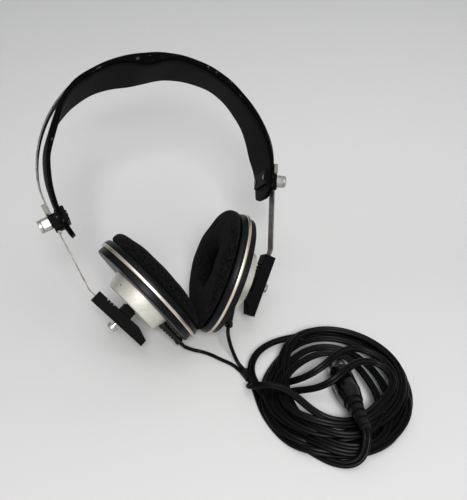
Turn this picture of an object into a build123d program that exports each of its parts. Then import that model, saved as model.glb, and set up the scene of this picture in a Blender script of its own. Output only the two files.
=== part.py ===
"""Stereo headphones on a steel bow, with a leather head strap, sliding arms and
cardan-mounted round cups, standing on the lower rims of the cups, with the cord
coiled in front of them. All sizes in millimetres.

Each piece of the headset is modelled in the frame of the unit it belongs to:
  headband frame  X to the wearer's left-right, Z up, centred between the arms
  clamp frame     X out of the slider, Z up along the arm, on the strip's mid surface
  bar frame       X out of the yoke bar, Z up along it, on the gimbal screw's axis
  cup frame       Z along the cup's axis towards the head, Y up in the plane of the cup
and is then placed by that unit's location, and the whole headset leans back on its cups.
"""
from build123d import *
from math import asin, cos, degrees, pi, radians, sin, tan
import os

# ---------------------------------------------------------------- driving dimensions
lean_back = 38.4            # of the headband's plane from upright

bow_centre_height = 130.6   # centre of the bow's arc over the headband frame's origin
bow_radius = 82.0           # mid surface of the steel bow
bow_shoulder_radius = 50.0  # tighter bend that leads into the straight ends
bow_width = 8.0
bow_thickness = 1.0
bow_end = 9.0               # straight end below the clamp's axis

strap_radius = 76.4         # outer face of the leather strap
strap_thickness = 3.2
strap_width = 39.0
strap_end_width = 28.0
strap_half_angle = 116.0    # from the top to each end of the strap
strap_knee_drop = 20.0      # the strap narrows from here down, below the bow's centre
strap_end_round = 10.0

clamp_reach = 79.6          # from the bow's centre to the strip at the clamp
arm_angle = 15.0            # of the arm from the headband's axis
guide_height_up = 4.2
guide_height_down = 7.5
guide_width = 13.0
guide_wall = 0.9            # outer wall, under the knob
guide_foot_thickness = 1.8
guide_round = 1.5
foot_stock = 1.0            # of the guide's foot, trimmed to the round of the strap
strap_gap = 0.1             # between the guide and the round of the strap
plate_thickness = 2.4
plate_width = 26.0
plate_half_angle = 4.2
plate_round = 0.8
rivet_diameter = 2.2
rivet_spacing = 20.0
rivet_head = 4.0
rivet_head_height = 0.6
rivet_head_seat = 0.04      # the flat head over the round of the plate

knob_diameter = 9.0
knob_length = 9.8
knob_round = 0.5
knob_stud_diameter = 3.0

arm_width = 10.0
arm_thickness = 0.8
arm_length = 56.0           # from the clamp's axis to the top of the yoke bar
arm_up = 10.5               # above the clamp's axis
arm_bend_height = 5.0       # bend above the top of the bar
arm_bend_radius = 6.0
arm_depth_in_bar = 9.0
strip_clearance = 0.05
stop_height = 7.0
stop_round = 1.0
stop_width = 11.0
stop_thickness = 2.6
stop_clearance = 0.6

bar_angle = 34.1            # of the yoke bar from the headband's axis
bar_length = 44.5
bar_above_screw = 22.5
bar_thickness = 8.2
bar_width = 13.0
bar_round = 0.6
bar_taper_length = 9.5
bar_taper_depth = 3.4
notch_count = 3
notch_pitch = 2.6
notch_width = 1.1
notch_depth = 0.9
notch_below_top = 8.0
stem_side = 9.6
stem_gap = 5.8              # between the bar and the rear cap
stem_neck_diameter = 7.6
stem_cap_gap = 0.6
screw_shank_diameter = 3.0
screw_head_diameter = 7.0
screw_head_height = 2.2
screw_head_round = 1.0
screw_recess_depth = 2.2
screw_recess_width = 0.9
screw_recess_length = 4.4
washer_diameter = 8.0
washer_thickness = 0.8
screw_standoff = {"left": 2.2, "right": 0.1}
screw_depth_in_stem = 5.0

cup_angle = 31.3            # of the cup's plane from the headband's axis
gimbal_depth = 4.4          # of the gimbal's centre inside the rear cap
gimbal_ring_outer = 8.6
gimbal_ring_inner = 5.6
gimbal_ring_thickness = 3.6
pin_diameter = 2.0
pin_clearance = 0.05
pivot_pin_length = 16.4
ring_pin_start = 6.2        # from the cup's axis
ring_pin_length = 6.0
bracket_lug_inner = 9.4
bracket_lug_outer = 12.4
bracket_lug_width = 5.0
bracket_base_outer = 15.5
bracket_base_inner = 10.4
bracket_base_thickness = 1.2

trim_radius = 44.0
trim_inner_radius = 40.0
trim_back = -1.1
trim_front = 1.0
housing_radius = 42.0
housing_wall = 1.6
housing_back = -5.6
housing_hole_radius = 9.6
housing_round = 0.7
trim_round = 0.6
cap_base_radius = 23.5
cap_rear_radius = 20.5
cap_length = 10.2
cap_wall = 1.2
cap_opening_radius = 9.6
cap_edge = 1.0
front_ring_radius = 43.4
front_ring_top_radius = 42.4
front_ring_inner_radius = 38.6
front_ring_front = 5.1
front_ring_round = 0.6
baffle_radius = 38.5
baffle_back = 0.3
baffle_thickness = 1.8
baffle_opening_radius = 14.0
sound_hole_circle = 25.0
sound_hole_radius = 1.6
sound_hole_count = 12
sound_hole_start = 15.0     # degrees
boss_circle = 34.0
boss_radius = 2.6
boss_count = 3
boss_gap = 0.1
baffle_screw_diameter = 2.0
baffle_screw_head = 3.6
baffle_screw_head_height = 1.2
baffle_screw_gap = 0.2      # to the floor of the housing
driver_radius = 17.5
driver_depth = 3.0
driver_sheet = 1.0
magnet_radius = 9.2
magnet_depth = 4.2
magnet_groove_depth = 2.5
coil_radius = 6.8
coil_wall = 0.4
coil_length = 3.4
groove_half_width = 0.7
diaphragm_radius = 13.6
diaphragm_height = 1.5
diaphragm_thickness = 0.4

pad_radius = 40.4
pad_hole_radius = 15.5
pad_gap = 0.3               # between the pad and the front ring
pad_height = 9.2
pad_round = 4.2
pad_squeeze_height = 1.5    # height of the pad left at its lowest point
pad_squeeze_slope = 18.0    # of the face where the two pads press together

boot_root_diameter = 5.6
boot_tip_diameter = 4.4
boot_length = 16.0
boot_collar_diameter = 5.4
boot_collar_length = 2.4
boot_ribs = 5
boot_groove = 0.9
boot_groove_depth = 1.05    # from the root's radius
boot_first_groove = 2.6     # beyond the cap's wall
boot_ribbed_length = 10.0
boot_shoulder = 1.0
boot_offset = 3.0           # axis behind the back housing
boot_turn = {"left": 0.0, "right": 32.0}

lead_diameter = 2.5
lead_exit_run = 4.5         # straight out of the boot
lead_lift = 0.15            # of a lead that lies on the floor
corner_share = 0.45         # of the shorter run that a bend may take
twin_width = 5.0
twin_thickness = 2.5
coil_centre = (67.0, -125.0)
coil_outer_radius = 49.0
coil_inner_radius = 25.0
coil_height = 15.0
coil_round = 5.0
junction_length = 7.0
junction_width = 6.4
junction_height = 4.2
junction_round = 1.4
junction_place = (21.1, -92.3)
junction_turn = 11.5        # degrees, of the cord's way from straight out
plug_place = (75.9, -119.5)
plug_turn = -11.5           # degrees, of its axis
plug_rise = 8.7             # degrees, of its cord end over the turns
plug_radius = 7.4
plug_length = 27.0
plug_mouth_bevel = (0.6, 2.0)
plug_nose = (1.4, 8.0)      # how far the shell narrows to the relief, and over what length
plug_relief_steps = 4
plug_relief_length = 21.0
plug_relief_radius = 5.0
plug_relief_tip_radius = 3.2
plug_relief_core_radius = 2.9
plug_relief_fill = 0.72     # share of each step that is a full ring
plug_height = 8.6           # of its axis over the floor, at the shell's mouth
sleeve_radius = 6.2
sleeve_wall = 0.5
sleeve_length = 8.5
pin_circle = 3.6
pin_count = 5
contact_radius = 0.75
contact_length = 1.0        # short of the sleeve's mouth
gap_clearance = 0.5         # round the strain relief in the turns

os.makedirs("parts", exist_ok=True)
sides = ("left", "right")

# ---------------------------------------------------------------- unit locations
turn = {"left": Location((0, 0, 0), (0, 0, 180)), "right": Location((0, 0, 0))}
bow_centre = Location((0, 0, bow_centre_height))
strip_offset = bow_thickness / 2 + strip_clearance + arm_thickness / 2
clamp = bow_centre * Location((0, 0, 0), (0, arm_angle, 0)) * Location((clamp_reach, 0, 0))
arm_bend = (clamp * Location((strip_offset, 0, arm_bend_height - arm_length))
            * Location((0, 0, 0), (0, bar_angle - arm_angle, 0)))
bar = arm_bend * Location((0, 0, -arm_bend_height - bar_above_screw))
cap_rear = housing_back - cap_length
gimbal_z = cap_rear + gimbal_depth
gimbal = bar * Location((-(bar_thickness / 2 + stem_gap + gimbal_depth), 0, 0))
cup = (Location(gimbal.position, (0, cup_angle, 0))
       * Plane(origin=(0, 0, 0), x_dir=(0, -1, 0), z_dir=(-1, 0, 0)).location
       * Location((0, 0, -gimbal_z)))

headset = {}                # finished pieces, in the headband frame


def fit(piece, name, unit, side="right"):
    """Places a finished piece of the headset by its unit and side."""
    placed = (turn[side] * unit) * piece.part
    placed.label = name
    headset[name] = placed


# ---------------------------------------------------------------- headband
shoulder_angle = arm_angle + degrees(
    asin((clamp_reach - bow_shoulder_radius) / (bow_radius - bow_shoulder_radius)))

with BuildPart() as bow_spring:
    with BuildSketch(Plane.XZ):
        with BuildLine():
            crown = CenterArc((0, bow_centre_height), bow_radius, 90, -shoulder_angle)
            shoulder = JernArc(crown @ 1, crown % 1, bow_shoulder_radius,
                               shoulder_angle - 90 - arm_angle)
            bow_tip = (clamp * Location((0, 0, -bow_end))).position
            Line(shoulder @ 1, (bow_tip.X, bow_tip.Z))
            mirror(about=Plane.YZ)
        trace(line_width=bow_thickness)
    extrude(amount=bow_width / 2, both=True)
fit(bow_spring, "bow_spring", Location())

strap_mid = strap_radius - strap_thickness / 2
with BuildPart() as head_strap:
    with BuildSketch(Plane.XZ):
        with BuildLine():
            CenterArc((0, bow_centre_height), strap_mid, 90 - strap_half_angle,
                      2 * strap_half_angle)
        trace(line_width=strap_thickness)
    extrude(amount=strap_width / 2, both=True)
    with BuildSketch(Plane.YZ):
        with BuildLine():
            top = bow_centre_height + bow_radius
            knee = bow_centre_height - strap_knee_drop
            low = bow_centre_height - strap_radius
            Polyline((0, low), (strap_end_width / 2, low), (strap_width / 2, knee),
                     (strap_width / 2, top), (0, top))
            mirror(about=Plane.YZ)
        make_face()
    extrude(amount=bow_radius, both=True, mode=Mode.INTERSECT)
    across = head_strap.edges().filter_by(lambda edge: edge.length < 1.1 * strap_thickness)
    fillet(across.sort_by(Axis.Z)[:4], strap_end_round)
    with Locations(bow_centre * Location((0, 0, 0), (0, arm_angle, 0)),
                   turn["left"] * bow_centre * Location((0, 0, 0), (0, arm_angle, 0))):
        with Locations(*[Location((0, y, 0), (0, 90, 0))
                         for y in (-rivet_spacing / 2, rivet_spacing / 2)]):
            Cylinder(rivet_diameter / 2, bow_radius, mode=Mode.SUBTRACT,
                     align=(Align.CENTER, Align.CENTER, Align.MIN))
fit(head_strap, "head_strap", Location())

plate_outer = strap_radius - strap_thickness
plate_inner = plate_outer - plate_thickness
guide_foot = strap_radius + strap_gap - clamp_reach
guide_top = strip_offset + arm_thickness / 2 + strip_clearance + guide_wall

for side in sides:
    with BuildPart() as strap_plate:
        with BuildSketch(Plane.XZ):
            with BuildLine():
                CenterArc((0, 0), (plate_outer + plate_inner) / 2, -arm_angle - plate_half_angle,
                          2 * plate_half_angle)
            trace(line_width=plate_thickness)
        extrude(amount=plate_width / 2, both=True)
        fillet(strap_plate.edges().filter_by(Axis.Y), plate_round)
        with Locations(Location((0, 0, 0), (0, arm_angle, 0))):
            with Locations(*[Location((0, y, 0), (0, 90, 0))
                             for y in (-rivet_spacing / 2, rivet_spacing / 2)]):
                Cylinder(rivet_diameter / 2, strap_radius, mode=Mode.SUBTRACT,
                         align=(Align.CENTER, Align.CENTER, Align.MIN))
    fit(strap_plate, side + "_strap_plate", bow_centre, side)

    with BuildPart() as slider_guide:
        with Locations((guide_foot - foot_stock, 0, -guide_height_down)):
            Box(guide_top - guide_foot + foot_stock, guide_width,
                guide_height_up + guide_height_down, align=(Align.MIN, Align.CENTER, Align.MIN))
        fillet(slider_guide.edges().filter_by(Axis.X), guide_round)
        with Locations((guide_foot - foot_stock, 0, 0)):
            Box(guide_foot_thickness, plate_width, 2 * guide_height_up,
                align=(Align.MIN, Align.CENTER, Align.CENTER))
        with Locations(Location((-clamp_reach, 0, 0), (90, 0, 0))):
            Cylinder(strap_radius + strap_gap, strap_width, mode=Mode.SUBTRACT)
        tall = 4 * guide_height_down
        Box(bow_thickness, bow_width, tall, mode=Mode.SUBTRACT)
        with Locations((bow_thickness / 2, 0, 0)):
            Box(arm_thickness + 2 * strip_clearance, arm_width + 2 * strip_clearance, tall,
                align=(Align.MIN, Align.CENTER, Align.CENTER), mode=Mode.SUBTRACT)
        with Locations(Location((0, 0, 0), (0, 90, 0))):
            Cylinder(knob_stud_diameter / 2 + pin_clearance, knob_length, mode=Mode.SUBTRACT,
                     align=(Align.CENTER, Align.CENTER, Align.MIN))
        with Locations(*[Location((0, y, 0), (0, -90, 0))
                         for y in (-rivet_spacing / 2, rivet_spacing / 2)]):
            Cylinder(rivet_diameter / 2, clamp_reach / 2, mode=Mode.SUBTRACT,
                     align=(Align.CENTER, Align.CENTER, Align.MIN))
    fit(slider_guide, side + "_slider_guide", clamp, side)

with BuildPart() as strap_rivets:
    grip = plate_inner - rivet_head_seat
    foot_top = clamp_reach + guide_foot + guide_foot_thickness - foot_stock
    for side in sides:
        with Locations(turn[side] * bow_centre * Location((0, 0, 0), (0, arm_angle, 0))):
            with Locations(*[Location((0, y, 0), (0, 90, 0))
                             for y in (-rivet_spacing / 2, rivet_spacing / 2)]):
                with Locations((0, 0, grip)):
                    Cylinder(rivet_diameter / 2, foot_top - grip,
                             align=(Align.CENTER, Align.CENTER, Align.MIN))
                    Cylinder(rivet_head / 2, rivet_head_height,
                             align=(Align.CENTER, Align.CENTER, Align.MAX))
                with Locations((0, 0, foot_top)):
                    Cylinder(rivet_head / 2, rivet_head_height / 2,
                             align=(Align.CENTER, Align.CENTER, Align.MIN))
fit(strap_rivets, "strap_rivets", Location())

# ---------------------------------------------------------------- knobs and arms
arm_face = strip_offset + arm_thickness / 2
for side in sides:
    with BuildPart() as knob:
        with Locations(Location((guide_top + strip_clearance, 0, 0), (0, 90, 0))):
            Cylinder(knob_diameter / 2, knob_length,
                     align=(Align.CENTER, Align.CENTER, Align.MIN))
        fillet(knob.edges().filter_by(GeomType.CIRCLE), knob_round)
        stud_start = arm_face + strip_clearance
        with Locations(Location((stud_start, 0, 0), (0, 90, 0))):
            Cylinder(knob_stud_diameter / 2, guide_top + knob_length / 2 - stud_start,
                     align=(Align.CENTER, Align.CENTER, Align.MIN))
    fit(knob, side + "_knob", clamp, side)

    with BuildPart() as arm_strip:
        with BuildSketch(Plane.XZ):
            with BuildLine():
                bend = radians(bar_angle - arm_angle)
                bend_z = arm_bend_height - arm_length
                drop = arm_bend_height + arm_depth_in_bar
                FilletPolyline((strip_offset, arm_up), (strip_offset, bend_z),
                               (strip_offset - drop * sin(bend), bend_z - drop * cos(bend)),
                               radius=arm_bend_radius)
            trace(line_width=arm_thickness)
        extrude(amount=arm_width / 2, both=True)
    fit(arm_strip, side + "_arm_strip", clamp, side)

    with BuildPart() as arm_stop:
        with Locations((arm_face - arm_thickness, 0, guide_height_up + stop_clearance)):
            Box(stop_thickness, stop_width, stop_height,
                align=(Align.MIN, Align.CENTER, Align.MIN))
        fillet(arm_stop.edges().filter_by(Axis.X), stop_round)
        with Locations((strip_offset, 0, 0)):
            Box(arm_thickness, arm_width, 2 * arm_up, mode=Mode.SUBTRACT)
    fit(arm_stop, side + "_arm_stop", clamp, side)

    # The yoke bar: notched on the side of the cup and tapered at its lower end.
    with BuildPart() as yoke_bar:
        half = bar_thickness / 2
        low = bar_above_screw - bar_length
        with BuildSketch(Plane.XZ):
            with BuildLine():
                Polyline((half, low), (half, bar_above_screw), (-half, bar_above_screw),
                         (-half, low + bar_taper_length), (bar_taper_depth - half, low),
                         (half, low))
            make_face()
        extrude(amount=bar_width / 2, both=True)
        fillet(yoke_bar.edges().filter_by(Axis.Z), bar_round)
        for notch in range(notch_count):
            with Locations((-half, 0, bar_above_screw - notch_below_top - notch * notch_pitch)):
                Box(2 * notch_depth, 2 * bar_width, notch_width, mode=Mode.SUBTRACT)
        with Locations((0, 0, bar_above_screw - arm_depth_in_bar)):
            Box(arm_thickness, arm_width, 2 * arm_depth_in_bar, mode=Mode.SUBTRACT,
                align=(Align.CENTER, Align.CENTER, Align.MIN))
        with Locations(Location((0, 0, 0), (0, 90, 0))):
            Cylinder(screw_shank_diameter / 2, 2 * bar_thickness, mode=Mode.SUBTRACT)
    fit(yoke_bar, side + "_yoke_bar", bar, side)

    # The stem: a square block outside the cap, a round neck in the cardan ring.
    gimbal_x = -(bar_thickness / 2 + stem_gap + gimbal_depth)
    with BuildPart() as yoke_stem:
        with Locations((-bar_thickness / 2, 0, 0)):
            Box(stem_gap - stem_cap_gap, stem_side, stem_side,
                align=(Align.MAX, Align.CENTER, Align.CENTER))
        with Locations(Location((-bar_thickness / 2, 0, 0), (0, -90, 0))):
            Cylinder(stem_neck_diameter / 2, stem_gap + gimbal_depth + gimbal_ring_thickness / 2,
                     align=(Align.CENTER, Align.CENTER, Align.MIN))
            Cylinder(screw_shank_diameter / 2, screw_depth_in_stem, mode=Mode.SUBTRACT,
                     align=(Align.CENTER, Align.CENTER, Align.MIN))
        with Locations(Location((gimbal_x, 0, 0), (90, 0, 0))):
            Cylinder(pin_diameter / 2, stem_side, mode=Mode.SUBTRACT)
    fit(yoke_stem, side + "_yoke_stem", bar, side)

    seat = bar_thickness / 2 + washer_thickness + screw_standoff[side]
    with BuildPart() as yoke_screw:
        with Locations(Location((seat, 0, 0), (0, 90, 0))):
            Cylinder(screw_head_diameter / 2, screw_head_height,
                     align=(Align.CENTER, Align.CENTER, Align.MIN))
        fillet(yoke_screw.edges().filter_by(GeomType.CIRCLE).sort_by(Axis.X)[-1],
               screw_head_round)
        with Locations((seat + screw_head_height, 0, 0)):
            Box(screw_recess_depth, screw_recess_width, screw_recess_length, mode=Mode.SUBTRACT)
            Box(screw_recess_depth, screw_recess_length, screw_recess_width, mode=Mode.SUBTRACT)
        with Locations(Location((seat, 0, 0), (0, -90, 0))):
            Cylinder(screw_shank_diameter / 2,
                     seat + bar_thickness / 2 + screw_depth_in_stem - strip_clearance,
                     align=(Align.CENTER, Align.CENTER, Align.MIN))
        with BuildSketch(Plane.YZ.offset(seat - strip_clearance)):
            Circle(washer_diameter / 2)
            Circle(screw_shank_diameter / 2 + strip_clearance, mode=Mode.SUBTRACT)
        extrude(amount=strip_clearance - washer_thickness)
    fit(yoke_screw, side + "_yoke_screw", bar, side)

    with BuildPart() as pivot_pin:
        with Locations(Location((0, 0, gimbal_z), (0, 90, 0))):
            Cylinder(pin_diameter / 2, pivot_pin_length)
    fit(pivot_pin, side + "_pivot_pin", cup, side)

    # ------------------------------------------------------------ cardan joint
    with BuildPart() as gimbal_ring:
        with BuildSketch(Plane.XY.offset(gimbal_z - gimbal_ring_thickness / 2)):
            Circle(gimbal_ring_outer)
            Circle(gimbal_ring_inner, mode=Mode.SUBTRACT)
        extrude(amount=gimbal_ring_thickness)
        with Locations(Location((0, 0, gimbal_z), (0, 90, 0))):
            Cylinder(pin_diameter / 2 + pin_clearance, 3 * gimbal_ring_outer,
                     mode=Mode.SUBTRACT)
        with Locations(Location((0, 0, gimbal_z), (90, 0, 0))):
            Cylinder(pin_diameter / 2, 3 * gimbal_ring_outer, mode=Mode.SUBTRACT)
    fit(gimbal_ring, side + "_gimbal_ring", cup, side)

    with BuildPart() as ring_pins:
        for end in (-1, 1):
            with Locations(Location((0, end * ring_pin_start, gimbal_z),
                                    (-end * 90, 0, 0))):
                Cylinder(pin_diameter / 2, ring_pin_length,
                         align=(Align.CENTER, Align.CENTER, Align.MIN))
    fit(ring_pins, side + "_ring_pins", cup, side)

    with BuildPart() as cup_bracket:
        with BuildSketch(Plane.XY.offset(housing_back)):
            Circle(bracket_base_outer)
            Circle(bracket_base_inner, mode=Mode.SUBTRACT)
        extrude(amount=-bracket_base_thickness)
        with BuildSketch(Plane.XY.offset(housing_back)):
            with Locations((0, (bracket_lug_outer + bracket_lug_inner) / 2),
                           (0, -(bracket_lug_outer + bracket_lug_inner) / 2)):
                Rectangle(bracket_lug_width, bracket_lug_outer - bracket_lug_inner)
        extrude(amount=gimbal_z - housing_back - bracket_lug_width / 2)
        with BuildSketch(Plane.XY.offset(housing_back)):
            Circle(bracket_base_inner)
        extrude(amount=-bracket_base_thickness, mode=Mode.SUBTRACT)
        with Locations(Location((0, 0, gimbal_z), (90, 0, 0))):
            Cylinder(pin_diameter / 2 + pin_clearance, 3 * bracket_lug_outer,
                     mode=Mode.SUBTRACT)
    fit(cup_bracket, side + "_cup_bracket", cup, side)

    # ------------------------------------------------------------ cup shells
    with BuildPart() as rear_cap:
        with BuildSketch(Plane.XZ):
            with BuildLine():
                Polyline((cap_base_radius - cap_wall, housing_back), (cap_base_radius, housing_back),
                         (cap_rear_radius, cap_rear), (cap_opening_radius, cap_rear),
                         (cap_opening_radius, cap_rear + cap_wall),
                         (cap_rear_radius - cap_wall, cap_rear + cap_wall),
                         (cap_base_radius - cap_wall, housing_back))
            make_face()
        revolve(axis=Axis.Z)
        with Locations(Location((0, 0, housing_back - boot_offset), (0, 0, boot_turn[side]))
                       * Location((0, 0, 0), (90, 0, 0))):
            Cylinder(boot_root_diameter / 2 + pin_clearance, 2 * cap_base_radius,
                     mode=Mode.SUBTRACT, align=(Align.CENTER, Align.CENTER, Align.MIN))
        rim = rear_cap.edges().filter_by(GeomType.CIRCLE).group_by(Axis.Z)[0].sort_by(
            SortBy.RADIUS)[-1]
        fillet(rim, cap_edge)
    fit(rear_cap, side + "_rear_cap", cup, side)

    boot_z = housing_back - boot_offset
    boot_start = cap_base_radius - cap_wall
    with BuildPart() as back_housing:
        with BuildSketch(Plane.XZ):
            with BuildLine():
                Polyline((housing_hole_radius, housing_back), (housing_radius, housing_back),
                         (housing_radius, trim_back), (housing_radius - housing_wall, trim_back),
                         (housing_radius - housing_wall, housing_back + housing_wall),
                         (housing_hole_radius, housing_back + housing_wall),
                         (housing_hole_radius, housing_back))
            make_face()
        revolve(axis=Axis.Z)
        outer = back_housing.edges().filter_by(GeomType.CIRCLE).group_by(Axis.Z)[0].sort_by(
            SortBy.RADIUS)[-1]
        fillet(outer, housing_round)
        with BuildSketch(Plane.XY.offset(housing_back + housing_wall)):
            with PolarLocations(boss_circle, boss_count, start_angle=90):
                Circle(boss_radius)
        extrude(amount=baffle_back - boss_gap - housing_back - housing_wall)
        with BuildSketch(Plane.XY.offset(baffle_back)):
            with PolarLocations(boss_circle, boss_count, start_angle=90):
                Circle(baffle_screw_diameter / 2)
        extrude(amount=housing_back + housing_wall - baffle_back, mode=Mode.SUBTRACT)
    fit(back_housing, side + "_back_housing", cup, side)

    with BuildPart() as trim_ring:
        with BuildSketch(Plane.XZ):
            with BuildLine():
                Polyline((trim_inner_radius, trim_back), (trim_radius, trim_back),
                         (trim_radius, trim_front), (trim_inner_radius, trim_front),
                         (trim_inner_radius, trim_back))
            make_face()
        revolve(axis=Axis.Z)
        fillet(trim_ring.edges().filter_by(GeomType.CIRCLE).sort_by(SortBy.RADIUS)[-2:],
               trim_round)
    fit(trim_ring, side + "_trim_ring", cup, side)

    with BuildPart() as front_ring:
        with BuildSketch(Plane.XZ):
            with BuildLine():
                Polyline((front_ring_inner_radius, trim_front), (front_ring_radius, trim_front),
                         (front_ring_top_radius, front_ring_front),
                         (front_ring_inner_radius, front_ring_front),
                         (front_ring_inner_radius, trim_front))
            make_face()
        revolve(axis=Axis.Z)
        fillet(front_ring.edges().filter_by(GeomType.CIRCLE).group_by(Axis.Z)[-1].sort_by(
            SortBy.RADIUS)[-1], front_ring_round)
    fit(front_ring, side + "_front_ring", cup, side)

    # ------------------------------------------------------------ driver
    baffle_front = baffle_back + baffle_thickness
    with BuildPart() as baffle:
        with BuildSketch(Plane.XY.offset(baffle_back)):
            Circle(baffle_radius)
            Circle(baffle_opening_radius, mode=Mode.SUBTRACT)
            with PolarLocations(sound_hole_circle, sound_hole_count, start_angle=sound_hole_start):
                Circle(sound_hole_radius, mode=Mode.SUBTRACT)
            with PolarLocations(boss_circle, boss_count, start_angle=90):
                Circle(baffle_screw_diameter / 2, mode=Mode.SUBTRACT)
        extrude(amount=baffle_thickness)
    fit(baffle, side + "_baffle", cup, side)

    with BuildPart() as baffle_screws:
        with BuildSketch(Plane.XY.offset(baffle_front)):
            with PolarLocations(boss_circle, boss_count, start_angle=90):
                Circle(baffle_screw_head / 2)
        extrude(amount=baffle_screw_head_height)
        with BuildSketch(Plane.XY.offset(baffle_front)):
            with PolarLocations(boss_circle, boss_count, start_angle=90):
                Circle(baffle_screw_diameter / 2)
        extrude(amount=housing_back + housing_wall + baffle_screw_gap - baffle_front)
    fit(baffle_screws, side + "_baffle_screws", cup, side)

    basket_floor = baffle_back - driver_depth
    with BuildPart() as driver_frame:
        with BuildSketch(Plane.XZ):
            with BuildLine():
                Polyline((baffle_opening_radius, baffle_back), (driver_radius, baffle_back),
                         (driver_radius, baffle_back - driver_sheet),
                         (baffle_opening_radius + driver_sheet, baffle_back - driver_sheet),
                         (magnet_radius + driver_sheet, basket_floor),
                         (magnet_radius, basket_floor), (magnet_radius, basket_floor + driver_sheet),
                         (baffle_opening_radius, baffle_back))
            make_face()
        revolve(axis=Axis.Z)
    fit(driver_frame, side + "_driver_frame", cup, side)

    magnet_back = basket_floor + driver_sheet - magnet_depth
    with BuildPart() as driver_magnet:
        with BuildSketch(Plane.XY.offset(magnet_back)):
            Circle(magnet_radius)
        extrude(amount=magnet_depth)
        with BuildSketch(Plane.XY.offset(magnet_back + magnet_depth)):
            Circle(coil_radius + groove_half_width)
            Circle(coil_radius - groove_half_width, mode=Mode.SUBTRACT)
        extrude(amount=-magnet_groove_depth, mode=Mode.SUBTRACT)
    fit(driver_magnet, side + "_driver_magnet", cup, side)

    with BuildPart() as voice_coil:
        with BuildSketch(Plane.XY.offset(baffle_back)):
            Circle(coil_radius + coil_wall / 2)
            Circle(coil_radius - coil_wall / 2, mode=Mode.SUBTRACT)
        extrude(amount=-coil_length)
    fit(voice_coil, side + "_voice_coil", cup, side)

    with BuildPart() as diaphragm:
        with BuildSketch(Plane.XZ):
            with BuildLine():
                skin = baffle_back + diaphragm_thickness
                Polyline((0, skin + diaphragm_height), (coil_radius, skin),
                         (diaphragm_radius, skin), (diaphragm_radius, baffle_back),
                         (coil_radius, baffle_back), (0, baffle_back + diaphragm_height),
                         (0, skin + diaphragm_height))
            make_face()
        revolve(axis=Axis.Z)
    fit(diaphragm, side + "_diaphragm", cup, side)

    # ------------------------------------------------------------ ear pad and cable boot
    pad_base = front_ring_front + pad_gap
    with BuildPart() as ear_pad:
        with BuildSketch(Plane.XZ):
            with Locations(((pad_radius + pad_hole_radius) / 2, pad_base + pad_height / 2)):
                RectangleRounded(pad_radius - pad_hole_radius, pad_height, pad_round)
        revolve(axis=Axis.Z)
        pressed = Plane(origin=(0, -pad_radius, pad_base + pad_squeeze_height), x_dir=(1, 0, 0),
                        z_dir=(0, -sin(radians(pad_squeeze_slope)),
                               cos(radians(pad_squeeze_slope))))
        split(bisect_by=pressed, keep=Keep.BOTTOM)
    fit(ear_pad, side + "_ear_pad", cup, side)

    boot = (Location((0, 0, boot_z), (0, 0, boot_turn[side]))
            * Plane(origin=(0, -boot_start, 0), x_dir=(1, 0, 0), z_dir=(0, -1, 0)).location)
    with BuildPart() as cable_boot:
        with BuildSketch(Plane.XZ):
            with BuildLine():
                Polyline((0, 0), (boot_root_diameter / 2, 0),
                         (boot_root_diameter / 2, cap_wall + boot_shoulder),
                         (boot_tip_diameter / 2, boot_length), (0, boot_length), (0, 0))
            make_face()
            for rib in range(boot_ribs):
                with Locations((boot_root_diameter / 2 - boot_groove_depth,
                                cap_wall + boot_first_groove
                                + rib * boot_ribbed_length / (boot_ribs - 1))):
                    Rectangle(boot_root_diameter, boot_groove, mode=Mode.SUBTRACT,
                              align=(Align.MIN, Align.CENTER))
        revolve(axis=Axis.Z)
        with BuildSketch(Plane.XY.offset(boot_length)):
            Circle(boot_collar_diameter / 2)
        extrude(amount=boot_collar_length)
    fit(cable_boot, side + "_cable_boot", cup * boot, side)

# ---------------------------------------------------------------- standing on its cups
lean = Location((0, 0, 0), (-lean_back, 0, 0))
leaning = {name: lean * piece for name, piece in headset.items()}
whole = Compound(children=list(leaning.values())).bounding_box()
stand = Location((-whole.center().X, -whole.center().Y, -whole.min.Z)) * lean


def write(piece, name):
    """Writes one finished piece in the part's frame."""
    piece.label = name
    export_step(piece, f"parts/{name}.step")


for name, piece in headset.items():
    write(stand * piece, name)

# ---------------------------------------------------------------- cords, in the part's frame


def corner_radii(points):
    """The largest arc that each corner's two runs allow."""
    radii = []
    for before, corner, after in zip(points, points[1:], points[2:]):
        run_in, run_out = Vector(*corner) - Vector(*before), Vector(*after) - Vector(*corner)
        half_turn = radians(run_in.get_angle(run_out)) / 2
        radii.append(corner_share * min(run_in.length, run_out.length) / tan(half_turn))
    return radii


lead_floor = lead_diameter / 2 + lead_lift
lead_exit = {}
for side in sides:
    boot_turned = Location((0, 0, housing_back - boot_offset), (0, 0, boot_turn[side]))
    tip = cap_wall - cap_base_radius - boot_length - boot_collar_length
    lead_exit[side] = [tuple((stand * turn[side] * cup * boot_turned
                              * Location((0, tip - run, 0))).position)
                       for run in (0, lead_exit_run)]

lead_route = {
    "left": [(-5.6, -63.4, 2.9), (-0.5, -65.2, lead_floor),
             (4.3, -69.6, lead_floor), (9.6, -76.4, lead_floor), (15.2, -82.8, lead_floor),
             (17.9, -88.0, lead_floor), (19.4, -92.8, lead_floor)],
    "right": [(14.4, -80.6, 23.6), (15.0, -82.9, 18.8), (16.8, -84.2, 13.0), (18.8, -85.6, 7.4),
              (20.9, -88.6, 3.0), (22.6, -93.2, lead_floor)],
}
for side in sides:
    points = lead_exit[side] + lead_route[side]
    with BuildPart() as lead:
        with BuildLine():
            route = FilletPolyline(*points, radius=corner_radii(points))
        with BuildSketch(Plane(origin=route @ 0, z_dir=route % 0)):
            Circle(lead_diameter / 2)
        sweep()
    print(side, "lead length", route.length, "volume ratio",
          lead.part.volume / (pi * lead_diameter ** 2 / 4 * route.length))
    write(lead.part, side + "_lead")

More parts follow.
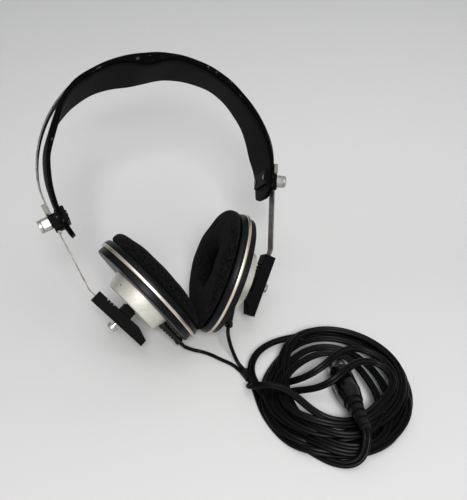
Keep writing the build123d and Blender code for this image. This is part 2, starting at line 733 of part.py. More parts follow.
junction = Location((*junction_place, 0), (0, 0, junction_turn))
with BuildPart() as cord_junction:
    Box(junction_width, junction_length, junction_height,
        align=(Align.CENTER, Align.MAX, Align.MIN))
    fillet(cord_junction.edges().filter_by(Axis.Y), junction_round)
write(junction * cord_junction.part, "cord_junction")

trunk_ends = [(22.3, -98.8, twin_thickness / 2), (22.9, -105.4, twin_thickness / 2)]
with BuildPart() as cord_trunk:
    with BuildLine():
        route = Line(*trunk_ends)
    with BuildSketch(Plane(origin=route @ 0, x_dir=(1, 0, 0), z_dir=route % 0)):
        SlotOverall(twin_width, twin_thickness)
    sweep()
write(cord_trunk.part, "cord_trunk")

# The plug lies in the middle of the coil, its strain relief in a gap in the turns.
plug = (Location((*plug_place, plug_height), (0, 0, plug_turn))
        * Location((0, 0, 0), (90 - plug_rise, 0, 0)))
with BuildPart() as plug_shell:
    with BuildSketch(Plane.XZ):
        with BuildLine():
            mouth_step, mouth_length = plug_mouth_bevel
            nose_step, nose_length = plug_nose
            Polyline((0, 0), (plug_radius - mouth_step, 0), (plug_radius, mouth_length),
                     (plug_radius, plug_length - nose_length),
                     (plug_radius - nose_step, plug_length), (0, plug_length), (0, 0))
        make_face()
    revolve(axis=Axis.Z)
write(plug * plug_shell.part, "plug_shell")

with BuildPart() as plug_relief:
    step = plug_relief_length / plug_relief_steps
    for ring in range(plug_relief_steps):
        radius = plug_relief_radius - ring * (
            (plug_relief_radius - plug_relief_tip_radius) / (plug_relief_steps - 1))
        with BuildSketch(Plane.XY.offset(plug_length + ring * step)):
            Circle(radius)
        extrude(amount=step * plug_relief_fill)
    with BuildSketch(Plane.XY.offset(plug_length)):
        Circle(plug_relief_core_radius)
    extrude(amount=plug_relief_length)
write(plug * plug_relief.part, "plug_relief")

with BuildPart() as plug_sleeve:
    with BuildSketch(Plane.XY):
        Circle(sleeve_radius)
        Circle(sleeve_radius - sleeve_wall, mode=Mode.SUBTRACT)
    extrude(amount=-sleeve_length)
write(plug * plug_sleeve.part, "plug_sleeve")

with BuildPart() as plug_pins:
    with BuildSketch(Plane.XY):
        with PolarLocations(pin_circle, pin_count, start_angle=0, angular_range=180,
                            endpoint=True):
            Circle(contact_radius)
    extrude(amount=contact_length - sleeve_length)
write(plug * plug_pins.part, "plug_pins")

with BuildPart() as relief_gap:
    with BuildSketch(Plane.XY.offset(plug_length - gap_clearance)):
        Rectangle(2 * coil_height, 2 * (plug_relief_radius + gap_clearance))
    extrude(amount=plug_relief_length + gap_clearance)
with BuildPart() as cord_coil:
    with BuildSketch():
        with Locations(coil_centre):
            Circle(coil_outer_radius)
            Circle(coil_inner_radius, mode=Mode.SUBTRACT)
    extrude(amount=coil_height)
    fillet(cord_coil.edges().filter_by(GeomType.CIRCLE), coil_round)
    add(plug * relief_gap.part, mode=Mode.SUBTRACT)
write(cord_coil.part, "cord_coil")
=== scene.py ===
"""Stereo headphones standing back on their cups, with the cord coiled in front of them."""
import bpy
import numpy as np
from math import cos, radians, sin
from mathutils import Matrix


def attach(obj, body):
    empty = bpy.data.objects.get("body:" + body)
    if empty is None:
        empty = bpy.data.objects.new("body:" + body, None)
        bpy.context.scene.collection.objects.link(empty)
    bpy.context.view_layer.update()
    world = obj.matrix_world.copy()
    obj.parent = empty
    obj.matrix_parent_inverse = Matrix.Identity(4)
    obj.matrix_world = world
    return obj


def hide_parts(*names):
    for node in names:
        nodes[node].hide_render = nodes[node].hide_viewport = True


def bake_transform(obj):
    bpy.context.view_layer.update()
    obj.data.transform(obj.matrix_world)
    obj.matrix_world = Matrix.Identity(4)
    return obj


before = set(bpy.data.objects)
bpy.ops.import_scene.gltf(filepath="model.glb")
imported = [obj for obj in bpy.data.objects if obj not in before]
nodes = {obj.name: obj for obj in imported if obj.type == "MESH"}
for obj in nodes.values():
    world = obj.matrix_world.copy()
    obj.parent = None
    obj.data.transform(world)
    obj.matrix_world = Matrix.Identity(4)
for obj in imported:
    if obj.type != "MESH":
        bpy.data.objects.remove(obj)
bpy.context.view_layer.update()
scene = bpy.context.scene

# ------------------------------------------------------------------ camera
# A phone held over the front left of the headset, looking down along its lean.
camera = bpy.data.objects.new("camera", bpy.data.cameras.new("camera"))
scene.collection.objects.link(camera)
scene.camera = camera
camera.data.sensor_fit, camera.data.sensor_width, camera.data.lens = "HORIZONTAL", 36.0, 40.07
camera.data.clip_start, camera.data.clip_end = 0.02, 20.0
camera_place = (-0.06055, -0.30886, 0.26982)
right = np.array([0.9421, -0.3352, -0.0111])
forward = np.array([0.2649, 0.7640, -0.5883])
up = np.cross(right, forward)
stance = np.eye(4)
stance[:3, 0], stance[:3, 1], stance[:3, 2], stance[:3, 3] = right, up, -forward, camera_place
camera.matrix_world = Matrix(stance)

# ------------------------------------------------------------------ leads
# A thin round rubber lead leaves the boot of each cup and runs down to the table, where the
# two join. The boots hang from the cups, and the cups from a bow that leans back with its
# arms, so the frames of the headset come first: drawn in millimetres, placed in metres.
SIDES = ("left", "right")
lean_back, bow_centre_height, clamp_reach, arm_angle = 38.4, 130.6, 79.6, 15.0
bar_angle, cup_angle, arm_length, arm_bend_height = 34.1, 31.3, 56.0, 5.0
bar_above_screw, bar_thickness, stem_gap, gimbal_depth = 22.5, 8.2, 5.8, 4.4
housing_back, cap_length, strip_offset = -5.6, 10.2, 0.95
cap_wall, cap_base_radius, boot_length, boot_collar_length = 1.2, 23.5, 16.0, 2.4
boot_offset, boot_turn = 3.0, {"left": 0.0, "right": 32.0}


def moved(x=0.0, y=0.0, z=0.0):
    """The 4 x 4 matrix of a shift."""
    matrix = np.eye(4)
    matrix[:3, 3] = x, y, z
    return matrix


def turned(axis, degrees):
    """The 4 x 4 matrix of a right-hand turn about one axis: the cosine and sine stand in the
    rows and columns of the other two axes."""
    c, s, matrix = cos(radians(degrees)), sin(radians(degrees)), np.eye(4)
    i, j = {"x": (1, 2), "y": (2, 0), "z": (0, 1)}[axis]
    matrix[i, i], matrix[j, j], matrix[i, j], matrix[j, i] = c, c, -s, s
    return matrix


stand = moved(0, -67.054, -0.040) @ turned("x", -lean_back)
turn_to = {"left": turned("z", 180), "right": np.eye(4)}
bow_frame = moved(z=bow_centre_height)
clamp_frame = bow_frame @ turned("y", arm_angle) @ moved(clamp_reach)
bar_frame = (clamp_frame @ moved(strip_offset, 0, arm_bend_height - arm_length)
             @ turned("y", bar_angle - arm_angle) @ moved(z=-arm_bend_height - bar_above_screw))
gimbal_frame = bar_frame @ moved(-(bar_thickness / 2 + stem_gap + gimbal_depth))
to_head = np.array([[0, 0, -1, 0], [-1, 0, 0, 0], [0, 1, 0, 0], [0, 0, 0, 1.0]])
cup_frame = (moved(*gimbal_frame[:3, 3]) @ turned("y", cup_angle) @ to_head
             @ moved(z=cap_length - housing_back - gimbal_depth))


def placed(points, unit, side="right"):
    """Points of a unit in millimetres, as points of the part in metres."""
    matrix = stand @ turn_to[side] @ unit
    return (points @ matrix[:3, :3].T + matrix[:3, 3]) / 1000


def finish_of(name, color, rough=0.5, metal=0.0, sheen=0.0, gloss=0.5, ior=None):
    """A new material with one principled shader: the material, its nodes and the shader."""
    material = bpy.data.materials.new(name)
    material.use_nodes = True
    tree = material.node_tree
    shader = tree.nodes["Principled BSDF"]
    for socket, value in (("Base Color", (*color, 1)), ("Roughness", rough), ("Metallic", metal),
                          ("Sheen Weight", sheen), ("Specular IOR Level", gloss)):
        shader.inputs[socket].default_value = value
    if ior is not None:
        shader.inputs["IOR"].default_value = ior
    return material, tree, shader


def noise_of(tree, scale, detail=4.0, stretch=(1, 1, 1)):
    """A noise in object space, stretched along its axes: the texture's value socket."""
    place = tree.nodes.new("ShaderNodeTexCoord")
    squeeze = tree.nodes.new("ShaderNodeMapping")
    noise = tree.nodes.new("ShaderNodeTexNoise")
    squeeze.inputs["Scale"].default_value = stretch
    noise.inputs["Scale"].default_value = scale
    noise.inputs["Detail"].default_value = detail
    tree.links.new(place.outputs["Object"], squeeze.inputs["Vector"])
    tree.links.new(squeeze.outputs["Vector"], noise.inputs["Vector"])
    return noise.outputs["Fac"]


def bumped(tree, shader, value, strength, distance=0.0002):
    """Turns a value into small relief on the shader's normal."""
    bump = tree.nodes.new("ShaderNodeBump")
    bump.inputs["Strength"].default_value = strength
    bump.inputs["Distance"].default_value = distance
    tree.links.new(value, bump.inputs["Height"])
    tree.links.new(bump.outputs["Normal"], shader.inputs["Normal"])


def grained(name, color, scale, detail, strength, **look):
    """A finish of one colour with fine grain, which is the relief of a noise."""
    material, tree, shader = finish_of(name, color, **look)
    bumped(tree, shader, noise_of(tree, scale, detail), strength)
    return material


def cord_curve(name, points, profile=None, radius=0.0, steps=4):
    """A NURBS line through metres, as thick as radius or as the profile object."""
    data = bpy.data.curves.new(name, "CURVE")
    data.dimensions, data.resolution_u, data.twist_mode = "3D", steps, "Z_UP"
    spline = data.splines.new("NURBS")
    spline.points.add(len(points) - 1)
    spline.points.foreach_set("co", np.c_[points, np.ones(len(points))].ravel())
    spline.order_u, spline.use_endpoint_u = 3, True
    data.use_fill_caps = True
    if profile is None:
        data.bevel_depth, data.bevel_resolution = radius, 5
    else:
        data.bevel_mode, data.bevel_object = "OBJECT", profile
    obj = bpy.data.objects.new(name, data)
    scene.collection.objects.link(obj)
    return obj


def mesh_of(curve):
    """The mesh that a curve object has now."""
    bpy.context.view_layer.update()
    return bpy.data.meshes.new_from_object(
        curve.evaluated_get(bpy.context.evaluated_depsgraph_get()))


def tube_of(curve, name):
    """A round cord as a mesh tube, and the points of its middle line, which are those of the
    same spline with no thickness."""
    data = mesh_of(curve)
    curve.data.bevel_depth = 0.0
    path = [list(vertex.co) for vertex in mesh_of(curve).vertices]
    bpy.data.objects.remove(curve)
    data.polygons.foreach_set("use_smooth", np.ones(len(data.polygons), bool))
    tube = bpy.data.objects.new(name, data)
    scene.collection.objects.link(tube)
    return tube, path


cord_black = grained("cord_black", (0.0018, 0.0018, 0.002), 900.0, 3.0, 0.12, rough=0.34, gloss=0.11)
lead_diameter, lead_floor = 2.5, 1.4
lead_route = {
    "left": [(-5.6, -63.4, 2.9), (-0.5, -65.2, lead_floor), (4.3, -69.6, lead_floor),
             (9.6, -76.4, lead_floor), (15.2, -82.8, lead_floor), (17.9, -88.0, lead_floor),
             (19.6, -93.6, lead_floor)],
    "right": [(14.8, -79.9, 21.8), (15.8, -81.2, 15.6), (17.4, -82.2, 9.0), (18.8, -84.0, 4.0),
              (20.4, -88.2, 1.7), (22.6, -93.8, lead_floor)],
}
boot_tip = cap_wall - cap_base_radius - boot_length - boot_collar_length
boot_run = np.array([[0, boot_tip + 1.5, 0], [0, boot_tip - 2.0, 0], [0, boot_tip - 4.5, 0]])
for side in SIDES:
    boot_frame = cup_frame @ moved(z=housing_back - boot_offset) @ turned("z", boot_turn[side])
    out = placed(boot_run, boot_frame, side)
    route = np.vstack([out, np.array(lead_route[side]) / 1000])
    lead, lead_path = tube_of(
        cord_curve(side + "_lead_line", route, radius=lead_diameter / 2000, steps=10),
        side + "_lead_cord")
    lead.data.materials.clear()
    lead.data.materials.append(cord_black)
    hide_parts(side + "_lead")
    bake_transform(lead)

# ------------------------------------------------------------------ twin cord
# The flat twin cord, two round cores side by side in one semi-gloss sheath, is wound loosely
# from the junction on the outside left. Every turn has its own reach to the left, front,
# right and back, so that the turns cross and fan out.
twin_width, twin_thickness = 5.0, 2.5
coil_middle = np.array([68.0, -125.0])
turn_reach = np.array([[47, 46, 46, 45], [46, 43, 49, 48], [40, 48, 43, 41], [45, 38, 49, 47],
                       [35, 45, 30, 31], [42, 34, 48, 44], [31, 41, 18, 21], [38, 29, 41, 9],
                       [29, 30, 35, 10]], float)
coil_turns = np.linspace(0.04, 8.5, 390)
start_angle, back_left_angle, back_left_width = 156, 138, 32
loop_turn, loop_width, loop_reach, tuck = 1.94, 38, 10.5, 6.5
plug_turn = 7.8


def near_turn(turn, width, power=2):
    """A smooth window along the coil: exp(-((angle from the turn) / width)^power)."""
    return np.exp(-((coil_turns - turn) * 360 / width) ** power)


# The loop that stands out at the back left, while the other turns are tucked in there.
phi = radians(start_angle) + 2 * np.pi * coil_turns
reach = np.interp(phi, np.pi + np.pi / 2 * np.arange(turn_reach.size), turn_reach.ravel())
back_left = np.exp(-(((np.degrees(phi) - back_left_angle + 180) % 360 - 180) / back_left_width) ** 2)
in_loop = near_turn(loop_turn, loop_width, 8)
reach = reach + (loop_reach * in_loop - tuck * (1 - in_loop)) * back_left
coil_x = coil_middle[0] + reach * np.cos(phi)
coil_y = coil_middle[1] + reach * np.sin(phi) - 4.5 * near_turn(plug_turn, 30)
coil_z = (1.4 + 1.5 * coil_turns + 3.0 * np.clip(np.sin(phi), 0, 1) * np.clip(coil_turns / 3, 0, 1)
          + 3.5 * near_turn(plug_turn, 35))
coil = np.c_[coil_x, coil_y, coil_z]

# The ends: out of the junction, a wrap over the left side, a turn over the plug's mouth, and
# a hook under the front turns and back over them to the plug's strain relief.
before_wrap, after_wrap = np.searchsorted(coil_turns, 7.91), np.searchsorted(coil_turns, 8.29)
from_junction = np.array([[22.3, -97.0, 1.3], [22.5, -100.5, 1.3]])
wrap = np.array([[49, -114, 8.5], [43, -111.5, 4], [37, -109.5, 1.6], [29, -108.2, 1.4],
                 [22.5, -107.8, 1.5], [18.6, -108.6, 3.0], [17.2, -110.4, 6.6], [19.0, -112.6, 10.4],
                 [23.5, -114.4, 13.0], [28.5, -116, 14.2], [33.5, -119, 14.5],
                 [38.5, -125, 13.5], [42, -133, 12.5], [45, -141, 11], [50, -147.5, 10]], float)
over_plug = np.array([[103.5, -139, 12], [102, -130, 13.5], [96, -123, 15.5], [88, -122, 18],
                      [80, -125.5, 19.2], [72, -129, 19], [63, -131.5, 16.5], [55.5, -128, 12],
                      [49, -122.5, 7.5], [43, -119, 3.5]], float)
hook = np.array([[36.5, -117.5, 1.5], [29.5, -119.5, 1.4], [25.5, -125.5, 1.4], [25.5, -134, 1.4],
                 [29, -146, 1.4], [36.5, -160.5, 1.4], [43.5, -169.5, 1.4], [49.5, -174.6, 2.0],
                 [55.5, -176.6, 3.6], [61, -175.0, 7.2], [64.6, -171.2, 12.0],
                 [66.1, -168, 15.2], [66.6, -165.0, 15.8], [66.9, -163.0, 15.5]], float)
stretches = [from_junction, coil[:before_wrap], wrap, coil[after_wrap:], over_plug, hook]
stretch_hold = (1, 0, 0.85, 0, 0.8, 1)
point_hold = np.concatenate([np.full(len(points), held)
                             for points, held in zip(stretches, stretch_hold)])
coil_start = len(from_junction)
point_hold[coil_start:coil_start + before_wrap] = 0.95 * in_loop[:before_wrap]


def evenly(points, step):
    """The polyline's points at equal steps of its length."""
    run = np.r_[0, np.cumsum(np.linalg.norm(np.diff(points, axis=0), axis=1))]
    at = np.linspace(0, run[-1], int(run[-1] / step) + 1)
    return np.c_[[np.interp(at, run, points[:, k]) for k in range(3)]].T


line = np.vstack(stretches)
run = np.r_[0, np.cumsum(np.linalg.norm(np.diff(line, axis=0), axis=1))]
cord_path = evenly(line, 5.6)
hold = np.interp(np.linspace(0, run[-1], len(cord_path)), run, point_hold)[:, None]
cord_room = np.array([1 / 4.5, 1 / 4.5, 1 / 2.8])
plug_mouth, relief_tip = np.array([75.9, -119.5, 8.6]), np.array([66.4, -165.9, 15.9])
plug_along, plug_clear = [0, 0.55, 0.75, 1], [9.4, 9.4, 6.5, 5.6]
sink, crowd_push, stiffness, memory = 0.015, 0.22, 0.06, 0.004
lowest_middle = 1.3


def settled(path, hold, rounds):
    """The cord after it has settled, in small rounds, held back by hold at each point. In every
    round it sinks, steps out of the plug's cone, gets its equal steps back, is pushed apart
    where (dx^2 + dy^2) / width^2 + dz^2 / thickness^2 between two points is below one, is
    smoothed by its fourth difference, is drawn back to its route, and stays on the table."""
    path, target, count, free = path.copy(), path.copy(), len(path), 1 - hold
    step_length = np.linalg.norm(np.diff(path, axis=0), axis=1).mean()
    one, other = np.triu_indices(count, 3)
    plug_line = relief_tip - plug_mouth
    plug_length = np.linalg.norm(plug_line)
    for _ in range(rounds):
        path[:, 2] -= sink * free[:, 0]
        share = np.clip((path - plug_mouth) @ plug_line / plug_length ** 2, -0.1, 1)[:, None]
        off = path - plug_mouth - share * plug_line
        apart = np.linalg.norm(off, axis=1, keepdims=True) + 1e-6
        clear = np.interp(share, plug_along, plug_clear)
        path += np.clip(clear - apart, 0, None) / apart * off * free * 0.5
        for first in (0, 1):
            a, b = np.arange(first, count - 1, 2), np.arange(first, count - 1, 2) + 1
            gap = path[b] - path[a]
            far = np.linalg.norm(gap, axis=1, keepdims=True)
            fix = 0.5 * (far - step_length) / far * gap
            path[a] += fix * free[a]
            path[b] -= fix * free[b]
        gap = (path[other] - path[one]) * cord_room
        far_squared = (gap ** 2).sum(1)
        close = far_squared < 1
        a, b = one[close], other[close]
        far = np.sqrt(far_squared[close])[:, None] + 1e-6
        fix = crowd_push * (1 - far) / far * gap[close] / cord_room
        np.add.at(path, a, -fix * free[a])
        np.add.at(path, b, fix * free[b])
        bend = np.zeros_like(path)
        bend[2:-2] = -path[:-4] + 4 * path[1:-3] - 6 * path[2:-2] + 4 * path[3:-1] - path[4:]
        path += stiffness * bend * free
        path += memory * (target - path) * free * [1, 1, 1.5]
        path[:, 2] = np.maximum(path[:, 2], lowest_middle)
    return path


cord_path = settled(cord_path, hold, 420)
twin_profile = bpy.data.curves.new("twin_profile", "CURVE")
twin_profile.dimensions = "2D"
s = np.linspace(-0.86 * np.pi, 0.86 * np.pi, 15)
core_radius = twin_thickness / 2000
lobe = np.c_[core_radius * 0.98 + core_radius * np.cos(s), core_radius * np.sin(s)]
outline = np.vstack([lobe, -lobe])
spline = twin_profile.splines.new("POLY")
spline.points.add(len(outline) - 1)
spline.points.foreach_set("co", np.c_[outline, np.zeros(len(outline)), np.ones(len(outline))].ravel())
spline.use_cyclic_u = True
twin_section = bpy.data.objects.new("twin_profile", twin_profile)
scene.collection.objects.link(twin_section)
twin_section.hide_render = True
twin = cord_curve("twin_cord", cord_path / 1000, profile=twin_section)
twin.data.materials.append(cord_black)
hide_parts("cord_trunk", "cord_coil")
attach(twin, "headband")

# ------------------------------------------------------------------ head strap
# Two layers of black leather sewn along the edges, narrow at the ends and hung inside the
# bow. Years of wear have made the lining sag at the crown and the edges rub brown. A painted
# sheen makes both faces lighter than the edges.
strap_angle, strap_mid, strap_half_thickness = 116.0, 74.8, 1.55
strap_half_width, strap_end_round, strap_knee_drop = 19.4, 10.0, 20
strap_narrowing, narrow_drop = 5.5, 56.4
theta = np.linspace(-strap_angle, strap_angle, 261)[:, None]
from_end = np.radians(strap_angle - np.abs(theta)) * strap_mid
drop = np.maximum(0, -strap_mid * np.cos(np.radians(theta)) - strap_knee_drop)
half_width = strap_half_width - strap_narrowing * drop / narrow_drop
half_width = half_width - strap_end_round + np.sqrt(
    np.maximum(0.3, strap_end_round ** 2 - np.maximum(0, strap_end_round - from_end) ** 2))


def skin(name, rows, loop=False):
    """A closed mesh of quads through rows of points, (rows, around, 3) in metres. loop joins the
    last row to the first; otherwise one face closes each end. A negative volume, the sum of
    a . (b x c) / 6 over the faces, turns all faces round."""
    m, n = rows.shape[:2]
    i, j = np.meshgrid(np.arange(m if loop else m - 1), np.arange(n), indexing="ij")
    a, b = i * n + j, i * n + (j + 1) % n
    c, d = (i + 1) % m * n + (j + 1) % n, (i + 1) % m * n + j
    quads = np.stack([a, b, c, d], -1).reshape(-1, 4)
    flat = rows.reshape(-1, 3)
    p = flat - flat.mean(0)
    volume = (np.einsum("ij,ij->", p[quads[:, 0]], np.cross(p[quads[:, 1]], p[quads[:, 2]]))
              + np.einsum("ij,ij->", p[quads[:, 0]], np.cross(p[quads[:, 2]], p[quads[:, 3]])))
    faces = quads.tolist()
    if not loop:
        faces += [list(range(n))[::-1], list(range((m - 1) * n, m * n))]
    if volume < 0:
        faces = [face[::-1] for face in faces]
    mesh = bpy.data.meshes.new(name)
    mesh.from_pydata(flat.tolist(), [], faces)
    mesh.polygons.foreach_set("use_smooth", np.ones(len(faces), bool))
    mesh.update()
    obj = bpy.data.objects.new(name, mesh)
    scene.collection.objects.link(obj)
    return obj


def ramp_of(tree, value, low, high, dark, light):
    """Maps value from low..high to the colours dark..light."""
    ramp = tree.nodes.new("ShaderNodeValToRGB")
    ramp.color_ramp.elements[0].position, ramp.color_ramp.elements[1].position = low, high
    ramp.color_ramp.elements[0].color = (*dark, 1)
    ramp.color_ramp.elements[1].color = (*light, 1)
    tree.links.new(value, ramp.inputs["Fac"])
    return ramp.outputs["Color"]


def mixed(tree, kind, one, other):
    """Two colours added or multiplied in full."""
    mix = tree.nodes.new("ShaderNodeMixRGB")
    mix.blend_type = kind
    mix.inputs["Fac"].default_value = 1.0
    tree.links.new(one, mix.inputs["Color1"])
    tree.links.new(other, mix.inputs["Color2"])
    return mix.outputs["Color"]


def swell(at, wide, high):
    """A smooth bump of the strap along its length: high exp(-((angle - at) / wide)^2)."""
    return high * np.exp(-((theta - at) / wide) ** 2)


# The radius of each face at the strap's front and back edge. The left end is twisted.
lining_front = (strap_mid - strap_half_thickness + swell(3, 11, -5.8) + swell(52, 26, -2.8)
                + swell(-40, 11, 1.8) + swell(-62, 11, -2.4) + swell(-84, 15, -1.5))
shell_front = (strap_mid + strap_half_thickness + swell(-36, 16, 2.8) + swell(-78, 22, -1.7)
               + swell(5, 16, 1.2) + swell(38, 16, 1.0) + swell(80, 30, -0.6))
lining_back = (strap_mid - strap_half_thickness + swell(-4, 17, -5.6) + swell(45, 15, 3.0)
               + swell(88, 13, -3.2) + swell(-64, 28, 5.6))
shell_back = lining_back + 2 * strap_half_thickness - 0.2
s = np.linspace(0, 2 * np.pi, 97)[None, :-1]
across = np.sign(np.cos(s)) * np.abs(np.cos(s)) ** 0.28
thick = np.sign(np.sin(s)) * np.abs(np.sin(s)) ** 0.42
seam = 0.3 * np.exp(-((np.abs(across) - 0.84) / 0.035) ** 2) * np.sign(thick)
share = (across + 1) / 2
inner = lining_front * (1 - share) + lining_back * share
outer = shell_front * (1 - share) + shell_back * share
rho = (inner + outer) / 2 + (outer - inner) / 2 * thick - seam
rho = rho + 0.12 * np.sin(theta / 3.1 + 2 * across) * np.cos(theta / 7.7)
strap_points = np.stack([rho * np.sin(np.radians(theta)), across * half_width,
                         rho * np.cos(np.radians(theta))], -1)
strap = skin("leather_strap", placed(strap_points, bow_frame))
# One at the edges: it places the real rubbed wear there and the painted sheen on the faces.
edge_rub_and_face_sheen = strap.data.attributes.new("edge_rub_and_face_sheen", "FLOAT", "POINT")
rub_and_sheen_weight = np.broadcast_to(np.abs(np.cos(s)) ** 3, rho.shape)
edge_rub_and_face_sheen.data.foreach_set("value", rub_and_sheen_weight.ravel().astype(np.float32))
leather, tree, shader = finish_of("leather", (0.02, 0.02, 0.021), rough=0.6, gloss=0.06, ior=1.25)
edge = tree.nodes.new("ShaderNodeAttribute")
edge.attribute_name = "edge_rub_and_face_sheen"
speck = tree.nodes.new("ShaderNodeMath")
speck.operation = "MULTIPLY"
tree.links.new(edge.outputs["Fac"], speck.inputs[0])
tree.links.new(noise_of(tree, 260.0, 6.0), speck.inputs[1])
# Painted sheen: the faces are coloured lighter than the edges. The brown specks near the edges are real
# rubbed wear.
painted_face_sheen = ramp_of(tree, edge.outputs["Fac"], 0.05, 0.5,
                     (0.0105, 0.0108, 0.0115), (0.0015, 0.0016, 0.0018))
rubbed = ramp_of(tree, speck.outputs[0], 0.62, 0.74, (0, 0, 0), (0.10, 0.075, 0.045))
tree.links.new(mixed(tree, "ADD", painted_face_sheen, rubbed), shader.inputs["Base Color"])
bumped(tree, shader, noise_of(tree, 1100.0, 3.0), 0.35, 0.0004)
strap.data.materials.append(leather)
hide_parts("head_strap")
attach(strap, "headband")

# ------------------------------------------------------------------ ear pads
# Soft foam rings in black velour, fullest towards the rim and sloping into the ear hole;
# the lower parts press on each other, and a seam runs round the foot of each.
pad_radius, pad_hole_radius, pad_base, pad_height = 40.3, 15.2, 5.35, 9.2
squeeze_height, squeeze_slope, pad_bottom = 1.5, 18.0, 40.4
pad_fuller = {"left": 0.8, "right": 6.0}
pad_overhang = {"left": 1.8, "right": 3.2}
funnel_depth, foot_seam_depth, foot_drape, ring_rim = 3.1, 0.4, 1.1, 42.4


def pad_rows(side):
    """The rows of an ear pad in its cup's frame: a rounded section, with its corners drawn out
    by powers of the sine and cosine, carried round the cup. On top of it come the overhang at
    the rim, the funnel into the hole, a few low waves, the groove of the foot seam, and the
    flat side, where a height z over its limit becomes z / (1 + (z / limit)^5)^(1/5)."""
    a = np.linspace(0, 2 * np.pi, 240, endpoint=False)[:, None]
    s = np.linspace(0, 2 * np.pi, 72, endpoint=False)[None]
    full = pad_height + pad_fuller[side] * (0.50 - 0.50 * np.cos(a) - 0.22 * np.sin(a))
    middle, reach = (pad_radius + pad_hole_radius) / 2, (pad_radius - pad_hole_radius) / 2
    c, d = np.cos(s), np.sin(s)
    r = middle + reach * np.sign(c) * np.abs(c) ** np.where(c > 0, 0.5, 0.75)
    r = r + pad_overhang[side] * np.clip(c, 0, 1) ** 0.5 * (1 - 0.45 * np.clip(d, 0, 1))
    crown = (1 + d) / 2
    z = full * np.where(d > 0, 0.5 + 0.5 * np.abs(d) ** 0.8, 0.5 - 0.5 * np.abs(d) ** 0.45)
    funnel = np.clip((middle - r) / reach, 0, 1)
    z = z - funnel_depth * funnel ** 1.6 * np.clip(d, 0, 1) ** 0.5
    z = z * (1 + 0.02 * np.sin(5 * a + 1.3) + 0.015 * np.sin(11 * a))
    r = r + 0.22 * np.sin(7 * a + 2 * s) * crown + 0.15 * np.sin(13 * a - s) * crown
    r = r - foot_seam_depth * np.exp(-((z - 1.3) / 0.5) ** 2) * (c > 0.2)
    z = z - foot_drape * np.clip((r - ring_rim) / 1.0, 0, 1) * np.clip(-d + 0.3, 0, 1)
    y = r * np.sin(a)
    limit = squeeze_height + np.maximum(0, y + pad_bottom) * np.tan(radians(squeeze_slope))
    z = z / (1 + np.maximum(0, z / limit) ** 5) ** 0.2
    return np.stack([r * np.cos(a), y, pad_base + z], -1)


velour, tree, shader = finish_of("velour", (0.006, 0.006, 0.006), rough=0.95, sheen=0.03,
                                 gloss=0.02, ior=1.15)
shader.inputs["Sheen Roughness"].default_value = 0.4
nap = ramp_of(tree, noise_of(tree, 900.0, 8.0), 0.35, 0.75,
              (0.0015, 0.0015, 0.0016), (0.016, 0.016, 0.017))
tree.links.new(nap, shader.inputs["Base Color"])
bumped(tree, shader, noise_of(tree, 1500.0, 6.0), 0.9, 0.0009)
for side in SIDES:
    pad = skin(side + "_velour_pad", placed(pad_rows(side), cup_frame, side), loop=True)
    pad.data.materials.append(velour)
    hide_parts(side + "_ear_pad")
    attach(pad, side + "_cup")

# ------------------------------------------------------------------ cups
# A spun aluminium cap on a black moulded back, a thin bright trim ring, then a black ring
# that holds the pad. The cap is brushed round, and the left one has a small dent, which is
# drawn only as a dark spot of painted shade in its colour.


def rounded(corners, radius, steps=5):
    """The closed outline of straight runs with round corners: at each corner the quadratic
    (1 - t)^2 p + 2 t (1 - t) q + t^2 r between points one radius before and after it."""
    q = np.array(corners, float)
    r = np.broadcast_to(radius, len(q)).astype(float)
    t = np.linspace(0, 1, steps)[None, :, None]
    before, after = np.roll(q, 1, 0) - q, np.roll(q, -1, 0) - q
    p0 = q + before * (r / np.linalg.norm(before, axis=1))[:, None]
    p2 = q + after * (r / np.linalg.norm(after, axis=1))[:, None]
    curve = (1 - t) ** 2 * p0[:, None] + 2 * t * (1 - t) * q[:, None] + t * t * p2[:, None]
    return curve.reshape(-1, 2)


def lathe(name, outline, unit, side="right", around=160):
    """The outline, (radius, height) pairs, turned about the unit's Z axis."""
    a = np.linspace(0, 2 * np.pi, around, endpoint=False)[:, None]
    r, z = outline[:, 0][None], outline[:, 1][None]
    rows = np.stack([r * np.cos(a), r * np.sin(a), np.broadcast_to(z, (around, len(outline)))], -1)
    return skin(name, placed(rows, unit, side), loop=True)


housing_hole_radius, housing_radius = 9.6, 42.0
cap_outline = rounded([(22.3, -5.6), (23.5, -5.6), (20.5, -15.8), (9.6, -15.8), (9.6, -14.6),
                       (19.4, -14.6)], [0.3, 0.35, 1.1, 0.35, 0.3, 0.8])
housing_outline = rounded(
    [(housing_hole_radius, -5.6), (housing_radius, -5.6), (housing_radius, -1.2), (40.4, -1.2),
     (40.4, -4.0), (housing_hole_radius, -4.0)], [0.3, 1.0, 0.4, 0.3, 0.3, 0.3])
trim_outline = rounded([(40.0, -1.1), (44.0, -1.1), (44.0, 1.0), (40.0, 1.0)],
                       [0.2, 0.65, 0.65, 0.2])
front_ring_outline = rounded([(38.6, 1.0), (43.4, 1.0), (43.4, 2.6), (42.4, 5.1), (38.6, 5.1)],
                             [0.2, 0.25, 0.8, 0.9, 0.3])
dent_angle, dent_radius, dent_height, dent_magnifier = radians(134), 22.0, -10.7, 500.0
dent = placed(np.array([dent_radius * cos(dent_angle), dent_radius * sin(dent_angle), dent_height]),
              cup_frame, "left")
spun, tree, shader = finish_of("spun_aluminium", (0.80, 0.77, 0.70), rough=0.5, metal=0.85)
brushed = ramp_of(tree, noise_of(tree, 60.0, 6.0, (1, 14, 14)), 0.3, 0.7,
                  (0.70, 0.685, 0.61), (0.80, 0.785, 0.71))
place = tree.nodes.new("ShaderNodeTexCoord")
from_dent = tree.nodes.new("ShaderNodeVectorMath")
from_dent.operation = "DISTANCE"
from_dent.inputs[1].default_value = dent.tolist()
tree.links.new(place.outputs["Object"], from_dent.inputs[0])
magnified = tree.nodes.new("ShaderNodeMath")
magnified.operation = "MULTIPLY"
